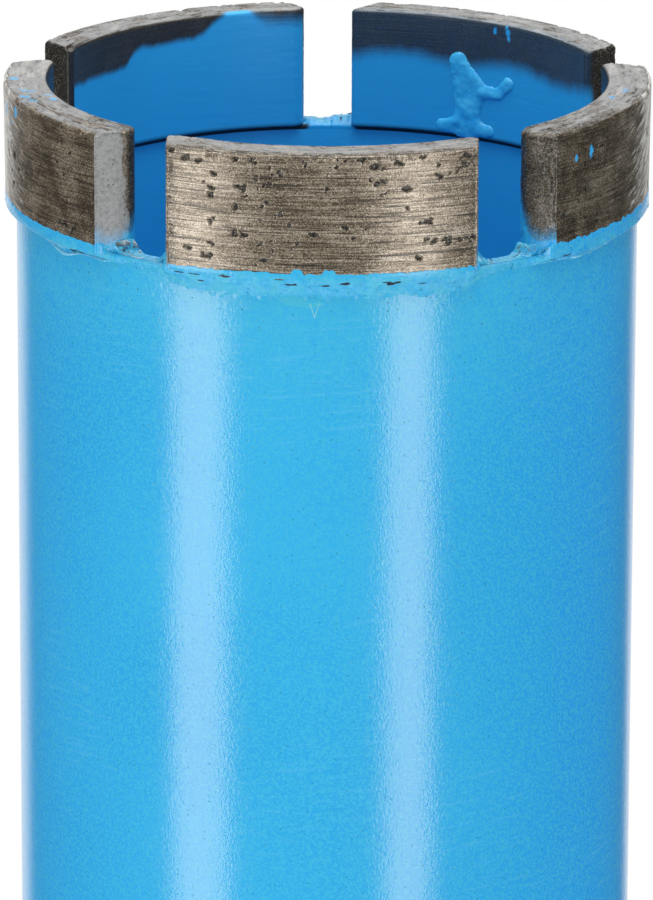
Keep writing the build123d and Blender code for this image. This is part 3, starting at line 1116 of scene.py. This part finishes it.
# How ragged the enamel's upper edge is
RAGGED = {FRONT: 0.12, RIGHT: 0.26, BACK_RIGHT: 0.12, BACK_LEFT: 0.12, LEFT: 0.10}
# How far the bead reaches below the segments' feet: in the slots and under each segment
END_DROP = 0.8
DROP = {FRONT: 2.3, RIGHT: 0.55, BACK_RIGHT: 0.9, BACK_LEFT: 0.85, LEFT: 0.5}
# Where it sags further: middle, half width and depth
SAG = {RIGHT: (-7.6, 3.0, 0.5), LEFT: (7.4, 1.6, 0.7)}
# Share of the bead's height over which it runs out on the barrel
RUN_OUT = {FRONT: 1.0, RIGHT: 0.9, BACK_RIGHT: 0.9, BACK_LEFT: 0.9, LEFT: 1.0}
GENTLE = {FRONT: 2.1, RIGHT: 1.0, BACK_RIGHT: 1.0, BACK_LEFT: 1.0, LEFT: 1.3}
# How far the bead's lower edge stands up as a roll
ROLL = {FRONT: 0.0, RIGHT: 0.20, BACK_RIGHT: 0.15, BACK_LEFT: 0.15, LEFT: 0.36}
# Fillet at the low-arc and the high-arc end of each segment: its rise, its run, how much is bare, and
# how far the enamel is heaped up right along the slot
FILLETS = {
    FRONT: ((0.75, 0.9, 0.25, 0.0), (0.8, 1.0, 0.35, 0.0)),
    RIGHT: ((0.95, 1.0, 0.45, 0.0), (0.8, 0.9, 0.2, 0.0)),
    BACK_RIGHT: ((0.8, 0.9, 0.2, 0.0), (0.55, 3.2, 0.0, 0.40)),
    BACK_LEFT: ((0.15, 1.5, 0.0, 0.30), (0.8, 0.9, 0.2, 0.0)),
    LEFT: ((0.8, 0.9, 0.2, 0.0), (1.05, 1.2, 1.0, 0.0)),
}
# Dark breaks in the enamel: how many, between which arcs, and how far under the segment's foot
BREAKS = {
    FRONT: (13, -12.5, 12.5, 0.0, 0.65),
    RIGHT: (3, -12.9, -10.6, 0.1, 0.5),
    LEFT: (3, 7.6, 10.5, 0.3, 0.6),
}
BREAK_SEED = 44
# The two drips on the front segment's lower edge
DRIP_MIDDLE = -0.6
DRIP_SPACING = 2.4
DRIP_HALF_WIDTH = 0.48
DRIP_RISE = 0.36
# Foot of the bead in the bore: heights over the rim, and how dark the painted shade under the segments'
# overhang makes it there
BORE_FOOT = ((0.05, 0.9), (-0.05, 0.9), (-0.18, 0.75), (-0.30, 0.5), (-0.44, 0.2), (-0.60, 0.0))


def breaks_of(number, arc, depth):
    """How dark each point is with the breaks in a segment's enamel."""
    ragged = 0.7 * noise(arc * 3.6, depth * 6.0, number * 1.9)
    dark = np.zeros_like(arc)
    count, first, last, shallow, deep = BREAKS.get(number, (0, 0.0, 1.0, 0.0, 1.0))
    draws = drawn(BREAK_SEED + number, count, (0.0, 1.0), (shallow, deep), (0.12, 0.55), (0.04, 0.10))
    for share, below, half_length, half_height in draws:
        middle = blend(first, last, share)
        away = np.hypot((arc - middle) / half_length, (depth - below - 0.06 * ragged) / half_height)
        dark = np.maximum(dark, smooth(1.5, 0.6, away + ragged))
    return dark


def bead(number, low, high, material):
    """Braze and enamel under one segment, out to the middle of the slot on either side."""
    seat = seats[number]
    angles = np.linspace(low, high, max(3, round((high - low) / BEAD_STEP)))
    local = angles - seat.angle
    arc = TUBE * np.radians(local)
    around = TUBE * np.radians(angles)
    lumps = noise(around * 0.55, 3.1, 0.7)
    ripple = noise(around * 1.9, 8.2, 2.4)
    foot = seat.foot - RIM
    tall = seat.top - seat.foot

    def beyond(radius):
        """Distance past the segment's end, negative under it."""
        return radius * np.sin(np.radians(np.abs(local))) - seat.half_length

    under = smooth(0.42, 0.0, beyond(TUBE + 0.6))
    spread = smooth(2.2, -1.0, beyond(TUBE + 0.6))
    step = seat.outer - LEAN - TUBE
    reach = blend(END_DROP, DROP[number], smooth(15.7, 9.5, np.abs(arc)))
    sag_arc, sag_half, sag = SAG.get(number, (0.0, 1.0, 0.0))
    reach = reach + sag * np.exp(-(((arc - sag_arc) / sag_half) ** 2))
    loose = 3.0 if number == FRONT else 1.0
    drop = reach - foot + loose * (0.07 * lumps + 0.05 * ripple)
    proud = step + FILM - GAP_SHOULDER
    climb = CLIMB[number] + 0.08 * lumps + RAGGED[number] * noise(arc * 3.2, 1.3, number, 4)
    if number == FRONT:
        for side in (-0.5, 0.5):
            off = (arc - DRIP_MIDDLE - side * DRIP_SPACING) / DRIP_HALF_WIDTH
            climb = climb + DRIP_RISE * np.sqrt(np.clip(1 - off**2, 0, 1))
    rise, run, bared, heap = (blend(a, b, arc > 0) for a, b in zip(*FILLETS[number]))
    rows = []
    clear = np.zeros_like(arc)

    def add_row(radius, height, tint=1.0, crack_and_shade=clear, bare=0.0):
        rows.append([value + clear for value in (radius, height, tint, crack_and_shade, bare)])

    for part in np.linspace(0, 1, BEAD_ROWS):
        height = -drop + part * (drop + foot)
        swell = smooth(-0.02, RUN_OUT[number], part) ** GENTLE[number]
        shoulder = GAP_SHOULDER + 0.05 * lumps + proud * blend(spread, under, smooth(0.55, 1.0, part))
        radius = TUBE - 0.02 + (shoulder + 0.02) * swell
        crest = math.exp(-(((part - 0.17) / 0.12) ** 2)) * np.clip(0.7 + 1.2 * lumps, 0.15, 1) * under
        radius = radius + ROLL[number] * crest
        relief = 0.08 * noise(arc * 1.1, height * 2.2 + 3, number * 5.0)
        relief = relief + 0.05 * noise(arc * 3, height * 4, number * 2.0)
        radius = radius + relief * smooth(0, 0.3, part) * (0.25 + 0.75 * smooth(1.0, 0.7, part))
        crack_and_shade = breaks_of(number, arc, foot - height)
        # The roll's crest gets a tint above 1, for its painted highlight
        tint = smooth(0.0, 0.45, part) + 1.8 * crest * (ROLL[number] > 0.16)
        add_row(radius - 0.08 * crack_and_shade, height, tint, crack_and_shade)
    film_top = foot + climb
    for part in np.linspace(0, 1, FILM_ROWS + 1)[1:]:
        height = blend(foot, film_top, part)
        on_segment = TUBE + step + FILM * (1 - part**4) + LEAN * (height - foot) / tall
        radius = blend(TUBE + GAP_SHOULDER - 0.1 - 0.35 * part, on_segment, under)
        crack_and_shade = breaks_of(number, arc, foot - height)
        add_row(radius, blend(foot + 0.06 * part, height, under), 1 - part, crack_and_shade)
    add_row(blend(rows[-1][0], TUBE + step - 0.25, under), rows[-1][1], 0.0)
    for part in np.linspace(0, 1, TOP_POINTS):
        radius = blend(TUBE - 0.35, BORE + 0.25, part) + clear
        past = beyond(radius)
        fillet = rise * np.clip(1 - np.clip(past, 0, None) / run, 0, 1) ** 2.0
        lumpy = 0.11 * noise(arc * 1.5, part * 3.0, number * 1.7)
        lumpy = lumpy + 0.09 * noise(arc * 3.4, part * 6.0, number * 0.9)
        height = 0.12 + fillet * (1 + 0.5 * lumpy) + lumpy + heap * smooth(-0.3, 0.2, past)
        arch = np.exp(-(((past - 0.22) / 0.20) ** 2)) * bared
        height = height + 0.28 * arch * math.sin(math.pi * (0.1 + 0.8 * part))
        strands = 0.75 + 0.9 * noise(arc * 1.2 + part * 2.0, part * 4.0, number * 2.9)
        bare = np.clip((arch + 0.5 * bared * smooth(0.1, 0.6, past)) * strands, 0, 1.2)
        crack_and_shade = 0.8 * smooth(0.30, 0.55, noise(arc * 2.6, part * 5.0, number * 6.1))
        crack_and_shade = crack_and_shade * smooth(-0.1, 0.3, past)
        # Pale patches on the rim in the slots; a tint above 1 there gives painted highlight
        tint = 0.9 + 0.8 * smooth(0.1, 0.5, noise(arc * 2.2, part * 4.0, number * 4.3))
        add_row(radius, height, tint, crack_and_shade, bare)
    # Painted shade on the bore wall under the segment's overhang, darkest right under it
    dark = smooth(0.0, -0.8, beyond(seat.inner))
    add_row(BORE + 0.06, 0.11, 0.0, dark)
    for height, share in BORE_FOOT:
        add_row(BORE - 0.01 - 0.05 * height, height, 0.0, share * dark)
    add_row(BORE + 0.5, -0.8, 0.0)
    add_row(TUBE - 0.5, -0.8, 0.0)
    radius, height, tint, crack_and_shade, bare = np.array(rows).transpose(1, 2, 0)
    radius = np.minimum(radius, seat.outer - 0.005)
    points = on_axis(angles[:, None], radius, RIM + height).reshape(-1, 3)
    count = len(rows)
    faces = capped(wrapped_faces(len(angles), count), len(angles), count)
    finish = np.stack([tint, crack_and_shade, bare], -1).reshape(-1, 3)
    add_mesh(f"braze_{number}_bead", points, faces, material, [f"braze_{number}"], finish)


def beads(material):
    """The five beads, which meet at the middle of each slot."""
    order = sorted(seats, key=lambda number: seats[number].angle % 360)
    for place, number in enumerate(order):
        own = seats[number].angle % 360
        before = seats[order[place - 1]].angle % 360
        after = seats[order[(place + 1) % SEGMENTS]].angle % 360
        low = own - ((own - before) % 360) / 2
        high = own + ((after - own) % 360) / 2
        shift = seats[number].angle - own
        bead(number, low + shift, high + shift, material)


# ---- Splash of enamel inside the back right segment --------------------------------------------

# Points of the splash, as arc and height on the segment, and how far its two feet reach
SPLASH_TOP = (3.2, 6.2)
SPLASH_BELLY = (2.2, 4.0)
SPLASH_FOOT = (2.5, 0.9)
SPLASH_ELBOW = (-0.7, 4.0)
SPLASH_HAND = (-1.7, 5.0)
SPLASH_REACH = 2.3
# Strokes that make it up: start, end and the radius at each
SPLASH_STROKES = [
    (SPLASH_TOP, SPLASH_BELLY, 0.9, 1.4),
    (SPLASH_BELLY, SPLASH_FOOT, 1.4, 1.1),
    (SPLASH_BELLY, SPLASH_ELBOW, 0.7, 0.4),
    (SPLASH_ELBOW, SPLASH_HAND, 0.4, 0.6),
    *((SPLASH_FOOT, (SPLASH_FOOT[0] + side * SPLASH_REACH, 0.7), 0.9, 0.5) for side in (-1, 1)),
]
SPLASH_DEPTH = 0.22
SPLASH_LUMPS = 6
SPLASH_PITCH = 0.07
BLEND_RADIUS = 0.5


def capsule(arc, height, start, end, start_radius, end_radius):
    """Distance outside a tapered stroke, negative inside."""
    along = np.array(end) - np.array(start)
    share = ((arc - start[0]) * along[0] + (height - start[1]) * along[1]) / (along @ along)
    share = np.clip(share, 0, 1)
    away = np.hypot(arc - start[0] - share * along[0], height - start[1] - share * along[1])
    return away - blend(start_radius, end_radius, share)


def splash_depth(arc, height):
    """Thickness of the splash at each point, and below 0 clear of it."""
    wander = 0.12 * noise(arc * 1.1, height * 1.1, 6.0) + 0.06 * noise(arc * 3.5, height * 3.5, 1.0)
    nearest = np.full_like(arc, 9.0)
    for start, end, first, last in SPLASH_STROKES:
        away = capsule(arc + wander, height - wander, start, end, first, last)
        near = np.clip(0.5 + 0.5 * (nearest - away) / BLEND_RADIUS, 0, 1)
        nearest = blend(nearest, away, near) - BLEND_RADIUS * near * (1 - near)
    inside = np.clip(-nearest / 0.55, 0, 1)
    dome = np.sqrt(np.clip(1 - (1 - inside) ** 2, 0, 1))
    depth = SPLASH_DEPTH * dome * (1 + 0.45 * noise(arc * 1.2, height * 1.2, 2.0))
    for lump_arc, lump_height, radius in drawn(31, SPLASH_LUMPS, (-1.8, 4.0), (0.9, 5.4), (0.4, 0.55)):
        near = np.hypot(arc - lump_arc, height - lump_height) / radius
        depth = depth + 0.16 * np.exp(-near * near) * dome
    return np.where(nearest < 0, depth, -1.0)


def splash(material):
    """A drip of enamel that has run down inside the back right segment."""
    seat = seats[BACK_RIGHT]
    arcs = np.arange(-3.2, 6.6, SPLASH_PITCH)
    heights = np.arange(-0.15, 7.8, SPLASH_PITCH)
    arc, height = np.meshgrid(arcs, heights, indexing="ij")
    depth = splash_depth(arc, height)
    wet = depth > 0
    cells = wet[:-1, :-1] | wet[1:, :-1] | wet[:-1, 1:] | wet[1:, 1:]
    used = np.zeros_like(wet)
    for i, j in np.argwhere(cells):
        used[i : i + 2, j : j + 2] = True
    order = np.cumsum(used.ravel()).reshape(used.shape) - 1
    angle = seat.angle + np.degrees(arc / seat.inner)
    wall = seat.inner + 0.02
    front = on_axis(angle, wall - np.where(wet, depth, -0.03), seat.foot + height)[used]
    back = on_axis(angle, wall + 0.25, seat.foot + height)[used]
    total = len(front)
    faces = []
    for i, j in np.argwhere(cells):
        a, b, c, d = order[i, j], order[i + 1, j], order[i + 1, j + 1], order[i, j + 1]
        faces.append((a, b, c, d))
        faces.append((total + d, total + c, total + b, total + a))
        neighbours = (((i, j - 1), a, b), ((i + 1, j), b, c), ((i, j + 1), c, d), ((i - 1, j), d, a))
        for (row, column), first, second in neighbours:
            outside = not (0 <= row < cells.shape[0] and 0 <= column < cells.shape[1])
            if outside or not cells[row, column]:
                faces.append((first, total + first, total + second, second))
    add_mesh("splash", np.concatenate([front, back]), faces, material)


# ---- Camera, light and stage -------------------------------------------------------------------

VIEW_DISTANCE = 668.9
VIEW_PITCH = 16.58
VIEW_ROLL = 0.182
AIM_BELOW_TOP = 31.42
AIM_ASIDE = 0.023
LENS = 329.0
SENSOR = 36.0


def camera():
    pitch = math.radians(VIEW_PITCH)
    roll = math.radians(VIEW_ROLL)
    ahead = Vector((0, math.cos(pitch), -math.sin(pitch)))
    right = Vector((1, 0, 0))
    up = Vector((0, math.sin(pitch), math.cos(pitch)))
    turned_right = right * math.cos(roll) + up * math.sin(roll)
    turned_up = up * math.cos(roll) - right * math.sin(roll)
    lens = bpy.data.cameras.new("camera")
    lens.lens = LENS
    lens.sensor_width = SENSOR
    lens.clip_start = 0.05
    lens.clip_end = 50.0
    holder = bpy.data.objects.new("camera", lens)
    bpy.context.scene.collection.objects.link(holder)
    place = Matrix((turned_right, turned_up, -ahead)).transposed().to_4x4()
    aim = Vector((AIM_ASIDE, 0, CROWN_TOP - AIM_BELOW_TOP)) * MM
    place.translation = aim - ahead * VIEW_DISTANCE * MM
    holder.matrix_world = place
    bpy.context.scene.camera = holder


# Softboxes, upright on the floor: distance from the axis, height and radiance, then the angle about
# the axis and the width of each; sizes in metres
SOFTBOX_DISTANCE = 0.55
SOFTBOX_HEIGHT = 0.36
SOFTBOX_RADIANCE = 5.2
SOFTBOXES = {"left_softbox": (-46.9, 0.208), "right_softbox": (30.3, 0.165)}
CEILING_RADIANCE = 2.9
CEILING_SIZE = 0.9
CEILING_HEIGHT = 1.1


def area_light(name, radiance, width, height):
    """An area light of even radiance, hidden from the camera."""
    lamp = bpy.data.lights.new(name, "AREA")
    lamp.shape = "RECTANGLE"
    lamp.size = width
    lamp.size_y = height
    lamp.energy = radiance * math.pi * width * height
    holder = bpy.data.objects.new(name, lamp)
    holder.visible_camera = False
    bpy.context.scene.collection.objects.link(holder)
    return holder


def lights():
    for name, (azimuth, width) in SOFTBOXES.items():
        holder = area_light(name, SOFTBOX_RADIANCE, width, SOFTBOX_HEIGHT)
        turn = math.radians(azimuth)
        aside = SOFTBOX_DISTANCE * math.sin(turn)
        holder.location = (aside, -SOFTBOX_DISTANCE * math.cos(turn), SOFTBOX_HEIGHT / 2)
        holder.rotation_euler = (math.pi / 2, 0, turn)
    ceiling = area_light("ceiling", CEILING_RADIANCE, CEILING_SIZE, CEILING_SIZE)
    ceiling.location = (0, 0, CEILING_HEIGHT)


# Backdrop behind the bit that its gloss mirrors, in degrees, and the room's strength elsewhere
BACKDROP_HALF = 25.5
BACKDROP_FADE = 6.0
BACKDROP_SHIFT = 4.5
ROOM_SHINE = 0.09
ROOM_LIGHT = 0.66
ROOM_TINT = (0.92, 0.99, 1.05)
WHITE = (1.0, 1.0, 1.0)


def surroundings():
    """White all round for the camera, and for reflections white behind and dimmer elsewhere."""
    world = bpy.data.worlds.new("surroundings")
    bpy.context.scene.world = world
    graph = Graph(world)
    graph.tree.nodes.clear()
    back = graph.add("ShaderNodeBackground")
    graph.feed(graph.add("ShaderNodeOutputWorld").inputs[0], back.outputs[0])
    path = graph.add("ShaderNodeLightPath").outputs
    x, y, _ = graph.split(graph.add("ShaderNodeTexCoord").outputs["Generated"])
    off = abs(graph.math("ARCTAN2", x, y) + math.radians(BACKDROP_SHIFT))
    edges = (math.radians(BACKDROP_HALF + side * BACKDROP_FADE) for side in (-1, 1))
    shine = blend(1.0, ROOM_SHINE, off.step(*edges))
    mirrored = graph.greater(path["Is Glossy Ray"], path["Is Transmission Ray"])
    seen = graph.greater(mirrored, path["Is Camera Ray"])
    strength = shine * mirrored + path["Is Camera Ray"] + (1.0 - seen) * ROOM_LIGHT
    graph.feed(back.inputs["Strength"], strength)
    graph.feed(back.inputs["Color"], graph.mix(seen, ROOM_TINT, WHITE))


FLOOR_RADIUS = 0.42
FLOOR_SOLID = 0.16  # radius up to which the floor is solid
FLOOR_GREY = (0.82, 0.82, 0.82)


def floor():
    """A pale disc under the bit that fades into the surroundings."""
    mesh = bpy.data.meshes.new("floor")
    angles = np.linspace(0, 2 * math.pi, 97)[:-1]
    points = [(FLOOR_RADIUS * math.cos(a), FLOOR_RADIUS * math.sin(a), 0) for a in angles]
    mesh.from_pydata(points, [], [list(range(len(points)))])
    graph = Graph(bpy.data.materials.new("floor"))
    x, y, _ = graph.split(graph.add("ShaderNodeTexCoord").outputs["Object"])
    fade = graph.length(x, y).step(FLOOR_SOLID, FLOOR_RADIUS * 0.98)
    clear = graph.add("ShaderNodeBsdfTransparent")
    mixed = graph.add("ShaderNodeMixShader")
    graph.feed(mixed.inputs[0], fade)
    graph.feed(mixed.inputs[1], graph.shader.outputs[0])
    graph.feed(mixed.inputs[2], clear.outputs[0])
    graph.feed(graph.tree.nodes["Material Output"].inputs[0], mixed.outputs[0])
    mesh.materials.append(graph.set(Base_Color=FLOOR_GREY, Roughness=0.8))
    piece = bpy.data.objects.new("floor", mesh)
    bpy.context.scene.collection.objects.link(piece)


# ---- The whole bit -----------------------------------------------------------------------------

# Dark, middle and light tone of the one matrix, as copies made lighter or darker for painted light and
# shade: lit for the front segment, shaded for the left and back ones, more deeply shaded for the right one
MATRIX_LIT = ((0.085, 0.064, 0.044), (0.288, 0.230, 0.162), (0.50, 0.445, 0.37))
MATRIX_SHADED = ((0.045, 0.033, 0.021), (0.158, 0.123, 0.084), (0.36, 0.30, 0.23))
MATRIX_DEEP_SHADED = ((0.035, 0.027, 0.018), (0.118, 0.094, 0.064), (0.29, 0.25, 0.20))
# Steps of a segment's mesh along it, for the front, a side and the back, and its rows, fine and plain
FINE_STEPS = 300
SIDE_STEPS = 190
BACK_STEPS = 170
FINE_ROWS = 110
ROWS = 70


def main():
    blue = barrel_enamel()
    barrel(blue)
    lit_sinter = sinter("sinter_front", *MATRIX_LIT, roughness=0.25)
    shaded_sinter = sinter("sinter_left", *MATRIX_SHADED, streaky=0.7)
    deep_shaded_sinter = sinter("sinter_right", *MATRIX_DEEP_SHADED, streaky=0.7)
    front_pits = random_pits(179, 62) + random_pits(23, 18, 12.2, 9.9, 9.0)
    segment(FRONT, lit_sinter, FINE_STEPS, FINE_ROWS, front_pits, burr=0.05, chipping=1.2)
    segment(RIGHT, deep_shaded_sinter, SIDE_STEPS, ROWS, random_pits(3, 26), rough_end=0.08, chipping=1.5)
    segment(BACK_RIGHT, shaded_sinter, BACK_STEPS, ROWS, random_pits(4, 30))
    segment(BACK_LEFT, shaded_sinter, BACK_STEPS, ROWS, random_pits(5, 30))
    segment(LEFT, shaded_sinter, SIDE_STEPS, ROWS, random_pits(6, 34), rough_end=0.012, chipping=1.8)
    beads(braze_enamel())
    splash(splash_enamel())
    machined = hub_enamel()
    hub(machined)
    thread(machined)
    weld(blue)
    camera()
    lights()
    surroundings()
    floor()
    bpy.context.scene.view_settings.view_transform = "Standard"


main()
